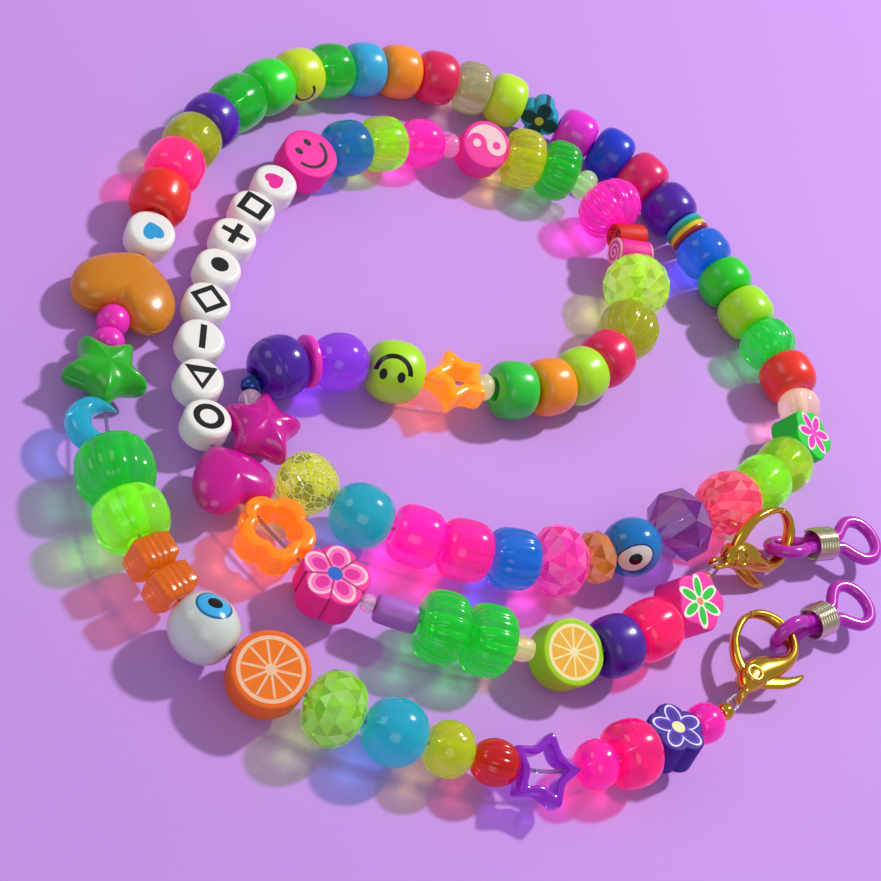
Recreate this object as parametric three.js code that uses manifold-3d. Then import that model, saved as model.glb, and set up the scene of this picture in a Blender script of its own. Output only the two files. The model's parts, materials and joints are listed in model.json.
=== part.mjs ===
// Eyeglasses chain strap: beads on one elastic cord, a lobster clasp on each end and a
// silicone temple loop in each clasp. The strap lies on a table in a flat spiral.
// Millimetres, +Z up, table at z = 0, origin on the table under the middle of the whole strap.
import * as THREE from 'three';
import { mergeVertices } from 'three/addons/utils/BufferGeometryUtils.js';
import Module from 'manifold-3d';

const wasm = await Module();
wasm.setup();

// ---------------------------------------------------------------- driving dimensions
const CORD_RADIUS = 0.25;
const CORD_SIDES = 4;
const CORD_STEPS = 220;
const CORD_LOOP_RADIUS = 1.5;
// The spiral's middle and the height of the cord above its points.
const CORD_SHIFT = new THREE.Vector3(-6.35, -7.3, 0.5);
const BEAD_GAP = 0.3;
const FUSE = 0.15;
const PONY_BORE = 1.5;
const PONY_END = 0.7;
const BALL_BORE = 0.8;
const FLAT_BORE = 0.9;
const MOON_BORE = 0.45;
const LATHE_SIDES = 8;
const DISC_SIDES = 12;
const CRIMP_LENGTH = 2.0;
const CRIMP_DIAMETER = 2.4;
const CRIMP_BORE = 0.6;
const CRIMP_INSET = 0.35;

const CLASP = {
  window: 7.6,
  armInner: 3.25,
  armOuter: 4.6,
  armThick: 1.9,
  baseThick: 2.8,
  tipAngle: 52,
  slot: 1.2,
  slotReach: 5.0,
  leverThick: 0.8,
  springThick: 0.7,
  boreRadius: 1.0,
  tailCentre: 3.4,
  tailRadius: 1.15,
  tailWire: 0.42,
  linkAngle: -36,
};
const RIVET = { bore: 0.5, shank: 0.8, flange: 1.4, flangeThick: 0.25, play: 0.12 };
const LOOP = { tube: 0.9, legs: 0.95, pinch: 1.9, ringX: -6.4 };
const COIL = { turns: 7, radius: 2.25, wire: 0.24, halfLength: 1.75 };

const DEG = Math.PI / 180;

// ---------------------------------------------------------------- the cord's path
// Plan position and height of the cord, from clasp B's crimp to clasp A's.
const CORD_POINTS = [
  [34.9, -21, 5.0], [31.4, -25.8, 4.6], [20, -33, 4.3], [11.5, -35.6, 4.0], [-5.5, -34, 4.8],
  [-20, -29, 4.0], [-28, -21.5, 3.8], [-33.5, -13, 3.8], [-36, -2, 3.2], [-35, 11, 3.2],
  [-31.5, 23, 3.2], [-24.5, 36, 3.2], [-17.5, 44.5, 3.8], [-9, 49.3, 4.2], [4, 53, 4.2],
  [18, 53, 4.8], [28, 50.5, 4.8], [33, 44, 5.2], [34.5, 34, 5.2], [31.5, 22, 4.8],
  [24.5, 13.5, 4.4], [13, 7.5, 4.2], [-2, 6.8, 4.3], [-17, 7.2, 4.4], [-24.5, 5.2, 4.2],
  [-28.8, 1.6, 3.6], [-28.6, -3.4, 3.6], [-25, -10, 3.6], [-20, -15.4, 4.2],
  [-8, -20, 4.3], [6, -22, 4.6], [19, -20, 4.8], [33, -13, 5.2], [48, -4, 4.6], [57, 5, 4.4], [58.5, 15, 4.3],
  [53.5, 29.5, 4.2], [46, 45, 4.2], [39, 55.5, 4.2], [28, 62.5, 4.0], [14, 67, 4.2],
  [0, 67.5, 4.2], [-16, 62.5, 4.3], [-31, 49.5, 4.3], [-39, 35, 4.2], [-42, 24, 2.9],
  [-47.5, 8, 2.9], [-48.8, -8, 4.0], [-46, -24, 5.1], [-37.5, -37.5, 4.6], [-24, -46, 4.8],
  [-7, -51, 4.4], [6, -52.7, 4.0], [19, -49, 4.2], [31.3, -43.2, 3.6], [34.9, -41, 3.3],
];
const cordPath = new THREE.CatmullRomCurve3(
  CORD_POINTS.map((point) => new THREE.Vector3(...point).add(CORD_SHIFT)),
  false,
  'centripetal',
);
cordPath.arcLengthDivisions = 2000;
const cordLength = cordPath.getLength();

// A frame on the path: X along the cord, Y to the left, Z up, then rolled about the cord.
function frameAt(distance, roll) {
  const along = THREE.MathUtils.clamp(distance / cordLength, 0, 1);
  const tangent = cordPath.getTangentAt(along);
  const left = new THREE.Vector3(0, 0, 1).cross(tangent).normalize();
  const up = new THREE.Vector3().crossVectors(tangent, left);
  const frame = new THREE.Matrix4().makeBasis(tangent, left, up);
  frame.multiply(new THREE.Matrix4().makeRotationX(roll * DEG));
  return frame.setPosition(cordPath.getPointAt(along));
}

// ---------------------------------------------------------------- solids
// A closed geometry with shared vertices and faces pointing out.
function closed(geometry) {
  geometry.deleteAttribute('normal');
  geometry.deleteAttribute('uv');
  const merged = mergeVertices(geometry, 1e-4);
  const at = (n) => new THREE.Vector3().fromBufferAttribute(merged.attributes.position, n);
  const index = Array.from(merged.index.array);
  let volume = 0;
  for (let n = 0; n < index.length; n += 3) {
    volume += at(index[n]).dot(at(index[n + 1]).cross(at(index[n + 2])));
  }
  if (volume < 0) {
    index.reverse();
  }
  merged.setIndex(index);
  return merged;
}

function toManifold(geometry) {
  const shape = closed(geometry);
  return new wasm.Manifold(new wasm.Mesh({
    numProp: 3,
    vertProperties: new Float32Array(shape.attributes.position.array),
    triVerts: new Uint32Array(shape.index.array),
  }));
}

function fromManifold(manifold) {
  const mesh = manifold.getMesh();
  const geometry = new THREE.BufferGeometry();
  geometry.setAttribute('position', new THREE.BufferAttribute(mesh.vertProperties, 3));
  geometry.setIndex(Array.from(mesh.triVerts));
  return geometry;
}

function joined(geometries) {
  return fromManifold(geometries.map(toManifold).reduce((whole, piece) => whole.add(piece)));
}

function cut(geometry, tools) {
  let solid = toManifold(geometry);
  for (const tool of tools) {
    solid = solid.subtract(toManifold(tool));
  }
  return fromManifold(solid);
}

// A horizontal plate of the given outline, centred on the cord and bored along it.
function plate(shape, thickness, bore, curveSegments = 4) {
  return bored(slab(shape, thickness, curveSegments), bore);
}

// A flat piece of the given outline, its thickness centred on z = 0.
function slab(shape, thickness, curveSegments = 1) {
  const options = { depth: thickness, bevelEnabled: false, curveSegments };
  return new THREE.ExtrudeGeometry(shape, options).translate(0, 0, -thickness / 2);
}

function bored(solid, bore) {
  const drill = new THREE.CylinderGeometry(bore, bore, 40, 8).rotateZ(Math.PI / 2);
  return cut(solid, [drill]);
}

// ---------------------------------------------------------------- bead shapes
// A round bead is { length, bore, outline }: outline gives [distance along the cord, radius]
// for a solid length. Any other bead is { length, make }: make builds it about its middle.
function pony(length, diameter = 8.4) {
  const radius = diameter / 2;
  const end = radius * PONY_END;
  const outline = (l) => [[-l / 2, end], [0, radius], [l / 2, end]];
  return { length, bore: PONY_BORE, outline };
}

function ball(length, diameter = length, bore = BALL_BORE, rings = 5) {
  const outline = (l) => {
    const r = diameter / 2;
    const start = Math.asin(Math.min(1, (bore + 0.15) / r));
    return Array.from({ length: rings + 1 }, (_, n) => {
      const angle = start + ((Math.PI - 2 * start) * n) / rings;
      return [(-l / 2) * (Math.cos(angle) / Math.cos(start)), r * Math.sin(angle)];
    });
  };
  return { length, bore, outline };
}

function tube(length, diameter) {
  const outline = (l) => [[-l / 2, diameter / 2], [l / 2, diameter / 2]];
  return { length, bore: FLAT_BORE, outline };
}

function disc(length, thickness) {
  const make = (l) => {
    const solid = new THREE.CylinderGeometry(l / 2, l / 2, thickness, DISC_SIDES);
    return bored(solid.rotateX(Math.PI / 2), FLAT_BORE);
  };
  return { length, make };
}

function block(length, width, height) {
  return { length, make: (l) => bored(new THREE.BoxGeometry(l, width, height), FLAT_BORE) };
}

function shapeOf(points) {
  return new THREE.Shape(points.map(([x, y]) => new THREE.Vector2(x, y)));
}

// Points round a circle whose radius is a function of the angle.
function polar(steps, radiusAt) {
  return Array.from({ length: steps }, (_, n) => {
    const angle = (n / steps) * 2 * Math.PI;
    return [radiusAt(angle, n) * Math.cos(angle), radiusAt(angle, n) * Math.sin(angle)];
  });
}

const STAR_WAIST = 0.58;
const STAR_WINDOW_WAIST = 0.42;
const HEART_NOTCH_CLEARANCE = 0.7;

function starPoints(outer, waist = outer * STAR_WAIST) {
  return polar(10, (angle, n) => (n % 2 ? waist : outer));
}

// A star strung through one point and the notch across from it, point first along the cord.
function star(length, thickness, window = 0, clearance = 0) {
  const make = (l) => {
    const outer = (l - clearance) / (1 + STAR_WAIST);
    const shape = shapeOf(starPoints(outer));
    if (window) {
      shape.holes.push(shapeOf(starPoints(outer * window, outer * STAR_WINDOW_WAIST)));
    }
    const middle = (outer * (STAR_WAIST - 1) + clearance) / 2;
    return plate(shape, thickness, FLAT_BORE).translate(middle, 0, 0);
  };
  return { length, make };
}

// Shallow petals round a circle, a petal first along the cord, with an optional window.
function flower(length, thickness, petals = 5, window = 0, depth = 0.08) {
  const make = (l) => {
    const radius = l / (2 - 2 * depth);
    const petal = (angle) => 1 - depth + depth * Math.cos(petals * angle);
    const shape = shapeOf(polar(petals * 4, (angle) => radius * petal(angle)));
    if (window) {
      const opening = polar(petals * 4, (angle) => radius * window * petal(angle));
      shape.holes.push(shapeOf(opening));
    }
    return plate(shape, thickness, FLAT_BORE).translate(-radius * depth, 0, 0);
  };
  return { length, make };
}

// A heart strung from its notch to its point. Its lobes reach back past the notch.
function heart(length, width, thickness, pointFirst, lobes) {
  const make = (l) => {
    const half = width / 2;
    const back = -l * lobes;
    const notch = -l / 2 + HEART_NOTCH_CLEARANCE;
    const shape = new THREE.Shape();
    shape.moveTo(l / 2, 0);
    shape.bezierCurveTo(l * 0.3, half * 0.5, l * 0.05, half, -l * 0.28, half);
    shape.bezierCurveTo(back * 0.95, half, back * 1.08, half * 0.5, notch, 0);
    shape.bezierCurveTo(back * 1.08, -half * 0.5, back * 0.95, -half, -l * 0.28, -half);
    shape.bezierCurveTo(l * 0.05, -half, l * 0.3, -half * 0.5, l / 2, 0);
    return plate(shape, thickness, FLAT_BORE, 5).rotateZ(pointFirst ? 0 : Math.PI);
  };
  return { length, make };
}

// A crescent strung through its two horns, its back to the right of the cord.
function moon(length, thickness) {
  const make = (l) => {
    const radius = l * 0.54;
    const inner = radius * 0.7;
    const outerAt = -radius * 0.38;
    const innerAt = radius * 0.05;
    const spread = radius ** 2 - inner ** 2 - outerAt ** 2 + innerAt ** 2;
    const horn = spread / (2 * (innerAt - outerAt));
    const hornAngle = Math.asin((horn - outerAt) / radius);
    const innerAngle = Math.asin((horn - innerAt) / inner);
    const shape = new THREE.Shape();
    shape.absarc(0, outerAt, radius, Math.PI - hornAngle, hornAngle, false);
    shape.absarc(0, innerAt, inner, innerAngle, Math.PI - innerAngle, true);
    return plate(shape, thickness, MOON_BORE, 8);
  };
  return { length, make };
}

// ---------------------------------------------------------------- the beads in order
// One entry per node: [name, colour, roughness, beads], a bead being [shape, roll].
// Neighbours listed in one entry are joined at their touching faces.
const STRAND = [
  ['clay_flower_block', 0xf03a9a, 0.6, [[flower(8.4, 5.4), -20]]],
  ['pony_run_lemon', 0xf0507a, 0.3, [[pony(7.0)], [pony(6.2)], [disc(9.4, 4.6), -20]]],
  ['spacer_near_b', 0xf2d878, 0.2, [[ball(3.4, 3.4, 0.6)]]],
  ['fluted_run_green', 0x14b43c, 0.15, [[pony(6.4, 9.6)], [pony(6.4, 9.6)]]],
  ['tube_bead', 0xb45ad2, 0.3, [[tube(5.8, 3.8)], [ball(1.8, 2.6, 0.6, 3)]]],
  ['clay_flower_pink', 0xff2d9b, 0.6, [[flower(9.2, 4.8)]]],
  ['flower_window_bead', 0xf08a1e, 0.15, [[flower(10.2, 4.4, 5, 0.62, 0.12)]]],
  ['heart_magenta', 0xc814a0, 0.25, [[heart(9.6, 11.4, 5.2, true, 0.6)]]],
  ['letter_coin_run', 0xf7f4f2, 0.35, Array(8).fill([disc(6.75, 3.8)])],
  ['clay_smiley_pink', 0xf01e96, 0.6, [[disc(9.4, 4.6), 20]]],
  ['pony_run_blue_lime', 0x1e78c8, 0.15, [
    [pony(6.4)], [pony(6.4)], [ball(7.2, 7.6)], [ball(2.6, 3.8)]]],
  ['yinyang_and_fluted_run', 0xf05aaa, 0.4, [
    [disc(7.8, 4.8), -20], [pony(6.0, 9.6)], [pony(6.0, 9.6)], [ball(3.5, 4.8)]]],
  ['pumpkin_magenta', 0xe614aa, 0.15, [[ball(8.0, 10.4)]]],
  ['cane_and_swirl_discs', 0xd22828, 0.5, [[tube(3.6, 6.4)], [tube(3.4, 7.6)]]],
  ['gem_lime_pair', 0xc8eb14, 0.1, [[ball(9.5, 10.4, 0.8, 4)], [ball(8.8, 9.2)]]],
  ['pony_run_crimson_orange', 0xe61e50, 0.3, [
    [pony(6.4)], [pony(6.2)], [pony(6.2)], [pony(6.2)], [ball(2.8, 3.8)]]],
  ['star_window_bead', 0xf5961e, 0.15, [[star(8.0, 4.2, 0.56, 0.3)]]],
  ['smiley_bead_lime', 0xb4eb1e, 0.35, [[ball(8.2, 8.8)]]],
  ['ball_purple', 0x8c3cdc, 0.15, [[ball(8.0, 8.2)]]],
  ['corner_run', 0x5a1ea0, 0.3, [
    [tube(1.4, 7.4)], [pony(7.6, 8.8)], [ball(2.6, 3.0, 0.7)], [ball(2.8, 3.2, 0.7)]]],
  ['star_magenta', 0xc814a0, 0.25, [[star(9.0, 4.6, 0, 0.8)]]],
  ['ball_crackle', 0xd2c828, 0.1, [[ball(8.0, 8.0)]]],
  ['ball_teal', 0x28a0b4, 0.15, [[ball(8.6, 8.6)]]],
  ['pony_run_magenta_blue', 0xf01eb4, 0.15, [[pony(6.8, 8.2)], [pony(6.8)], [pony(6.8)]]],
  ['gem_pair_pink_amber', 0xf032aa, 0.1, [[ball(7.0, 10.0, 0.8, 4)], [ball(4.6, 7.6, 0.8, 4)]]],
  ['evil_eye_ball', 0x148cdc, 0.15, [[ball(8.0, 8.2)]]],
  ['gem_purple', 0x78288c, 0.08, [[ball(10.8, 10.4, 0.8, 4)]]],
  ['gem_peach', 0xf0466e, 0.1, [[ball(10.2, 9.2, 0.8, 4)]]],
  ['pony_run_clay_green', 0xaae61e, 0.2, [[pony(6.4)], [pony(6.0)], [flower(8.0, 5.2), 20]]],
  ['pony_run_right', 0xe63223, 0.25, [
    [ball(5.0, 6.4)], [pony(6.4)], [pony(6.4)], [pony(6.4)], [pony(5.8)],
    [pony(6.0)], [tube(3.0, 6.6)], [pony(6.8)], [pony(6.6)], [pony(6.4)]]],
  ['pearl_and_pony_run_top', 0xd232aa, 0.3, [
    [ball(6.6, 7.6)], [flower(6.2, 4.6), -20], [pony(6.0)], [pony(5.8)], [pony(6.4)],
    [pony(6.4)], [pony(5.8)], [pony(6.0)], [pony(6.2)], [pony(6.6)], [pony(7.2)], [pony(5.6)],
    [pony(6.0)], [pony(6.4)], [pony(6.8)], [disc(7.0, 3.8)]]],
  ['heart_amber', 0xeb8214, 0.25, [[heart(11.0, 14.6, 6.0, false, 0.74)]]],
  ['ball_magenta_upper', 0xe6148c, 0.2, [[ball(4.2, 4.4, 0.6)]]],
  ['ball_and_star_green', 0x28b428, 0.25, [[ball(3.8, 4.4)], [star(9.4, 4.8)]]],
  ['moon_teal', 0x28aac8, 0.15, [[moon(6.4, 3.4)]]],
  ['fluted_run_and_amber_blocks', 0x14be46, 0.12, [
    [pony(8.0, 10.2)], [pony(6.8, 9.6)], [block(4.5, 5.4, 5.4)], [block(4.5, 5.4, 5.4)]]],
  ['eyeball_ball', 0xdce6f0, 0.15, [[ball(8.8, 8.6)]]],
  ['orange_slice', 0xfa7d1e, 0.6, [[disc(10.2, 4.8), 30]]],
  ['gem_green', 0xa0d214, 0.1, [[ball(7.8, 9.8, 0.8, 4)]]],
  ['ball_run_teal_yellow', 0x28aab4, 0.15, [[ball(8.2, 8.6)], [ball(6.2, 7.2)]]],
  ['ball_red', 0xc81e28, 0.15, [[ball(6.2, 5.8, 0.6)]]],
  ['star_frame_purple', 0x7828b4, 0.15, [[star(8.6, 3.0, 0.66, 0.8), 15]]],
  ['pony_run_near_a', 0xf01e96, 0.15, [[ball(5.2, 6.6)], [pony(6.0, 9.0)]]],
  ['clay_flower_purple', 0x3c1e96, 0.6, [[flower(8.0, 5.0), 20]]],
  ['ball_swirl_pink', 0xf01e96, 0.2, [[ball(5.0, 5.6)]]],
];

const group = new THREE.Group();

function addMesh(parent, name, geometry, colour, roughness, metalness = 0) {
  const material = new THREE.MeshStandardMaterial({ color: colour, roughness, metalness });
  const mesh = new THREE.Mesh(closed(geometry), material);
  mesh.name = name;
  parent.add(mesh);
  return mesh;
}

// Round beads strung in a row, turned as one solid and bent to follow the cord.
function bentRow(row, home) {
  const bore = Math.min(...row.map(({ shape }) => shape.bore));
  const outer = [];
  const inner = [];
  for (const { shape, from, to } of row) {
    const middle = (from + to) / 2;
    for (const [x, radius] of shape.outline(to - from)) {
      const last = outer[outer.length - 1];
      if (!last || last[0] !== middle + x || last[1] !== radius) {
        outer.push([middle + x, radius]);
      }
    }
    inner.unshift([to, bore]);
  }
  const first = row[0].from;
  const ring = [[first, bore], ...outer, ...inner, [first, bore]];
  const profile = ring.map(([x, radius]) => new THREE.Vector2(radius, x - first));
  const solid = new THREE.LatheGeometry(profile, LATHE_SIDES).rotateZ(-Math.PI / 2);
  const position = solid.attributes.position;
  const back = home.clone().invert();
  for (let n = 0; n < position.count; n++) {
    const place = back.clone().multiply(frameAt(first + position.getX(n), 0));
    const point = new THREE.Vector3(0, position.getY(n), position.getZ(n)).applyMatrix4(place);
    position.setXYZ(n, point.x, point.y, point.z);
  }
  return solid;
}

// How far a bead reaches past its pitch towards a neighbour: short of a separate one.
function reach(shape, neighbour) {
  if (!neighbour) {
    return -BEAD_GAP / 2;
  }
  return neighbour.outline && shape.outline ? 0 : FUSE;
}

// Strings the beads: each node is built in its first bead's frame, its beads joined.
function addBeads() {
  let distance = CRIMP_LENGTH + CRIMP_INSET + BEAD_GAP;
  for (const [name, colour, roughness, beads] of STRAND) {
    const home = frameAt(distance + beads[0][0].length / 2, beads[0][1] ?? 0);
    const solids = [];
    let row = [];
    const endRow = () => {
      if (row.length) {
        solids.push(bentRow(row, home));
      }
      row = [];
    };
    beads.forEach(([shape, roll = 0], n) => {
      const before = beads[n - 1]?.[0];
      const after = beads[n + 1]?.[0];
      const from = distance - reach(shape, before);
      const to = distance + shape.length + reach(shape, after);
      if (shape.outline) {
        row.push({ shape, from, to });
      } else {
        endRow();
        const place = home.clone().invert().multiply(frameAt((from + to) / 2, roll));
        solids.push(shape.make(to - from).applyMatrix4(place));
      }
      distance += shape.length;
    });
    endRow();
    const whole = solids.length === 1 ? solids[0] : joined(solids);
    addMesh(group, name, whole, colour, roughness).applyMatrix4(home);
  }
}
addBeads();

// ---------------------------------------------------------------- end hardware
// Where each clasp's tail ring hangs on the cord, the clasp's heading and roll,
// the silicone loop's heading, and the turn of its ring end about its own axis.
const ENDS = [
  { side: 'b', leave: 40, heading: 28, roll: 50, loopHeading: 12, twist: -40, start: true },
  { side: 'a', leave: 45, heading: 55, roll: 0, loopHeading: 27, twist: 75, start: false },
];

class Helix extends THREE.Curve {
  getPoint(t, target = new THREE.Vector3()) {
    const angle = t * COIL.turns * 2 * Math.PI;
    const along = THREE.MathUtils.lerp(-COIL.halfLength, COIL.halfLength, t);
    return target.set(along, COIL.radius * Math.cos(angle), COIL.radius * Math.sin(angle));
  }
}

function round(radius, sides) {
  return shapeOf(polar(sides, () => radius));
}

function rivetHole() {
  const hole = new THREE.CylinderGeometry(CLASP.boreRadius, CLASP.boreRadius, 6, 10);
  return hole.rotateX(Math.PI / 2);
}

// An arm curling round the window, a thick base slotted for the lever, and a tail ring.
function claspBody() {
  const hook = new THREE.Shape();
  hook.absarc(CLASP.window, 0, CLASP.armOuter, -175 * DEG, CLASP.tipAngle * DEG, false);
  hook.absarc(CLASP.window, 0, CLASP.armInner, CLASP.tipAngle * DEG, -175 * DEG, true);
  const arm = slab(hook, CLASP.armThick, 14);
  const base = slab(shapeOf([
    [-2.1, 0.6], [-1.4, 1.8], [0.2, 2.2], [2.2, 1.9], [4.2, 0.7], [4.6, -1.2], [5.6, -2.5],
    [5.3, -4], [3, -3.6], [0.4, -2.2], [-1.4, -1.6], [-2.1, -0.6],
  ]), CLASP.baseThick);
  const tail = new THREE.TorusGeometry(CLASP.tailRadius, CLASP.tailWire, 6, 10);
  tail.rotateX(Math.PI / 2).translate(-CLASP.tailCentre, 0, 0);
  const slot = new THREE.CylinderGeometry(CLASP.slotReach, CLASP.slotReach, CLASP.slot, 16);
  slot.rotateX(Math.PI / 2);
  const behind = slab(shapeOf([[-6, -6], [-1.75, -6], [-1.75, 6], [-6, 6]]), CLASP.slot * 2);
  return cut(joined([arm, base, tail]), [cut(slot, [behind]), rivetHole()]);
}

// The gate bar closing the window, and the thumb nub on the other side of the rivet.
function claspLever() {
  const blade = shapeOf([
    [-1.5, -0.4], [-1.0, 1.1], [-0.2, 1.7], [1.4, 3.4], [3.8, 4.7], [6.4, 5.0], [9.1, 4.4],
    [8.9, 3.2], [6.4, 3.9], [4.2, 3.6], [2.3, 2.4], [1.5, 0.6], [1.5, -0.6], [2.4, -2.6],
    [4.6, -5.6], [5.9, -6.4], [4.2, -6.7], [2.6, -5.4], [0.4, -2.4], [-0.9, -1.4],
  ]);
  return cut(slab(blade, CLASP.leverThick), [rivetHole()]);
}

function claspRivet() {
  const cheek = CLASP.baseThick / 2 + RIVET.play;
  const top = cheek + RIVET.flangeThick;
  const profile = [
    [RIVET.bore, -top], [RIVET.flange, -top], [RIVET.flange, -cheek], [RIVET.shank, -cheek],
    [RIVET.shank, cheek], [RIVET.flange, cheek], [RIVET.flange, top], [RIVET.bore, top],
    [RIVET.bore, -top],
  ];
  const points = profile.map(([x, y]) => new THREE.Vector2(x, y));
  return new THREE.LatheGeometry(points, 10).rotateX(Math.PI / 2);
}

// The leaf spring behind the lever that holds the gate shut.
function claspSpring() {
  const leaf = shapeOf([
    [-1.6, -0.5], [-1.6, -1.3], [-0.9, -1.75], [-0.3, -2.3], [-0.45, -2.45], [-1.05, -1.95],
    [-1.7, -1.5], [-1.7, -0.5],
  ]);
  return slab(leaf, CLASP.springThick);
}

// The silicone loop: a closed tube, pinched to two parallel legs inside the coil.
// Its eye lies level and its ring end is turned about the loop's axis.
function siliconeLoop(twist) {
  const half = [
    [-8.9, 0], [-8.2, 1.55], [-6.5, 2.3], [-4.7, 1.95], [-3.2, 1.2], [-LOOP.pinch, LOOP.legs],
    [0, LOOP.legs], [LOOP.pinch, LOOP.legs], [3.1, LOOP.legs], [4.5, 2.0], [6.4, 3.0],
    [8.6, 2.5], [9.7, 0],
  ];
  const mirrored = half.slice(1, -1).reverse().map(([x, y]) => [x, -y]);
  const points = [...half, ...mirrored].map(([x, y]) => {
    const share = THREE.MathUtils.clamp((LOOP.pinch - x) / (2 * LOOP.pinch), 0, 1);
    const turn = twist * share * DEG;
    return new THREE.Vector3(x, y * Math.cos(turn), y * Math.sin(turn));
  });
  const path = new THREE.CatmullRomCurve3(points, true, 'centripetal');
  return new THREE.TubeGeometry(path, 46, LOOP.tube, 6, true);
}

function coilSpring() {
  return new THREE.ExtrudeGeometry(round(COIL.wire, 4), {
    steps: COIL.turns * 10,
    extrudePath: new Helix(),
    bevelEnabled: false,
  });
}

function crimpBead() {
  const end = CRIMP_DIAMETER * 0.36;
  const shoulder = CRIMP_LENGTH / 4;
  const profile = [
    [CRIMP_BORE, -CRIMP_LENGTH / 2], [end, -CRIMP_LENGTH / 2], [CRIMP_DIAMETER / 2, -shoulder],
    [CRIMP_DIAMETER / 2, shoulder], [end, CRIMP_LENGTH / 2], [CRIMP_BORE, CRIMP_LENGTH / 2],
    [CRIMP_BORE, -CRIMP_LENGTH / 2],
  ];
  const points = profile.map(([x, y]) => new THREE.Vector2(x, y));
  return new THREE.LatheGeometry(points, LATHE_SIDES).rotateZ(-Math.PI / 2);
}

const GOLD = 0xd9a832;
const SILICONE = 0xb414b4;
const STEEL = 0xb8b8b8;
const PALE_GOLD = 0xd8c890;

// One end's clasp and loop. Returns where the cord's own loop goes.
function addEnd(end) {
  const anchor = cordPath.getPoint(end.start ? 0 : 1);
  const leave = end.leave * DEG;
  const out = new THREE.Vector3(Math.cos(leave), Math.sin(leave), 0);
  const tail = anchor.clone().addScaledVector(out, 2 * CORD_LOOP_RADIUS);

  const clasp = new THREE.Group();
  clasp.position.copy(tail);
  clasp.rotation.set(end.roll * DEG, 0, end.heading * DEG, 'ZYX');
  group.add(clasp);
  const parts = new THREE.Group();
  parts.position.x = CLASP.tailCentre;
  clasp.add(parts);
  addMesh(parts, `clasp_body_${end.side}`, claspBody(), GOLD, 0.2, 1);
  addMesh(parts, `clasp_lever_${end.side}`, claspLever(), GOLD, 0.2, 1);
  addMesh(parts, `clasp_rivet_${end.side}`, claspRivet(), GOLD, 0.25, 1);
  addMesh(parts, `clasp_spring_${end.side}`, claspSpring(), STEEL, 0.3, 1);

  // the ring of the loop hangs on the arm of the clasp
  const arm = (CLASP.armInner + CLASP.armOuter) / 2;
  const link = CLASP.linkAngle * DEG;
  const hang = new THREE.Vector3(
    CLASP.tailCentre + CLASP.window + arm * Math.cos(link),
    arm * Math.sin(link),
    0,
  );
  clasp.updateMatrixWorld(true);
  hang.applyMatrix4(clasp.matrixWorld);
  const loop = new THREE.Group();
  const loopHeading = end.loopHeading * DEG;
  const loopOut = new THREE.Vector3(Math.cos(loopHeading), Math.sin(loopHeading), 0);
  loop.position.copy(hang).addScaledVector(loopOut, -LOOP.ringX);
  loop.rotation.z = loopHeading;
  group.add(loop);
  addMesh(loop, `temple_loop_${end.side}`, siliconeLoop(end.twist), SILICONE, 0.25);
  addMesh(loop, `loop_coil_${end.side}`, coilSpring(), PALE_GOLD, 0.25, 1);

  const inset = CRIMP_INSET + CRIMP_LENGTH / 2;
  const crimpAt = frameAt(end.start ? inset : cordLength - inset, 0);
  addMesh(group, `crimp_bead_${end.side}`, crimpBead(), GOLD, 0.25, 1).applyMatrix4(crimpAt);

  const eyelet = new THREE.TorusGeometry(CORD_LOOP_RADIUS, CORD_RADIUS, 6, 12);
  const angles = new THREE.Euler(end.roll * DEG, 0, leave, 'ZYX');
  const turn = new THREE.Matrix4().makeRotationFromEuler(angles);
  turn.setPosition(anchor.clone().addScaledVector(out, CORD_LOOP_RADIUS));
  return eyelet.applyMatrix4(turn);
}
const eyelets = ENDS.map(addEnd);

const cord = new THREE.ExtrudeGeometry(round(CORD_RADIUS, CORD_SIDES), {
  steps: CORD_STEPS,
  extrudePath: cordPath,
  bevelEnabled: false,
});
addMesh(group, 'elastic_cord', joined([cord, ...eyelets]), 0x4a4246, 0.5);

export default group;
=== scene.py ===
import json
import math
from functools import cache

import bpy
import numpy as np
from mathutils import Matrix, Vector

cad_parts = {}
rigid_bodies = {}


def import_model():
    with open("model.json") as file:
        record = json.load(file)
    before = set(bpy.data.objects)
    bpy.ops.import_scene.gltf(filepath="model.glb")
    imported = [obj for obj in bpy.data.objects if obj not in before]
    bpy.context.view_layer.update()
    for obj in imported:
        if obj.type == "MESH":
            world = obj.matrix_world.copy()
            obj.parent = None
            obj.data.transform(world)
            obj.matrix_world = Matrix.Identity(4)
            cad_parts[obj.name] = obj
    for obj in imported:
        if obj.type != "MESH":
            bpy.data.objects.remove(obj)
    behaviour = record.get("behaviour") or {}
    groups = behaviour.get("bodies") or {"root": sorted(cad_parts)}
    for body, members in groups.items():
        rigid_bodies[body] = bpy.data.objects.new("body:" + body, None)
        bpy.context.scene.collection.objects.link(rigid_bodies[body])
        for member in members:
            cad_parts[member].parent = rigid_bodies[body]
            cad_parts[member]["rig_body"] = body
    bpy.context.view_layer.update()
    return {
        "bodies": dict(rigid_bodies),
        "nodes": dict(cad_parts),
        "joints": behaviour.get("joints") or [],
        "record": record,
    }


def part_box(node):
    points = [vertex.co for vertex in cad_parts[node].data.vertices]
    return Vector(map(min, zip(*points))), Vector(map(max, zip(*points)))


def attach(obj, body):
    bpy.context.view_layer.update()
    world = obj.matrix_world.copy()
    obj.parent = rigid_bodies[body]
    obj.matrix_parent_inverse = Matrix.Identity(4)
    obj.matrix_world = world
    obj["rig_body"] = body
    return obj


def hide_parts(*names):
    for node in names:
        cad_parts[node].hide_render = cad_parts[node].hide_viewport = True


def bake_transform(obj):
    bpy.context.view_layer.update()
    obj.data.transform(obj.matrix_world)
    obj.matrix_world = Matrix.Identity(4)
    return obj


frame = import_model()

nodes, record = frame["nodes"], frame["record"]
joints = {j["name"]: j for j in frame["joints"]}
MM = 0.001
TAU = 2 * math.pi

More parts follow.
